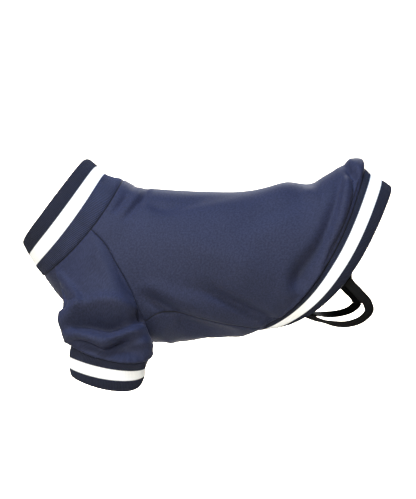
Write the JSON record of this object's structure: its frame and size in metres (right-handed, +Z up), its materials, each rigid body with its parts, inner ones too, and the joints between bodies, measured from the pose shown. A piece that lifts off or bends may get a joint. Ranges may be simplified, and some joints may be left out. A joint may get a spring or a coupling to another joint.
{
  "type": "dog varsity jacket",
  "caption": "Worn, hollow raglan dog coat with striped rib collar, cuffs and hem band, and elastic loops at the rear for the hind legs.",
  "frame": {"origin": "inside of the back panel at the low point of the back line, where the wearer's back carries the garment", "axes": "-X towards the head, +X towards the tail, -Y the dog's left side, +Z up"},
  "size_m": [0.3506, 0.1479, 0.2161],
  "materials": {
    "navy_cloth": "matt knit jersey with a soft sheen",
    "navy_rib": "matt rib knit with a white stripe",
    "black_elastic": "matt ribbed elastic"
  },
  "bodies": {
    "root": {"back_panel": "navy_cloth", "belly_panel": "navy_cloth", "sleeve_left": "navy_cloth", "sleeve_right": "navy_cloth", "collar": "navy_rib", "hem_band": "navy_rib", "cuff_left": "navy_rib", "cuff_right": "navy_rib", "leg_strap_left": "black_elastic", "leg_strap_right": "black_elastic"}
  },
  "joints": []
}
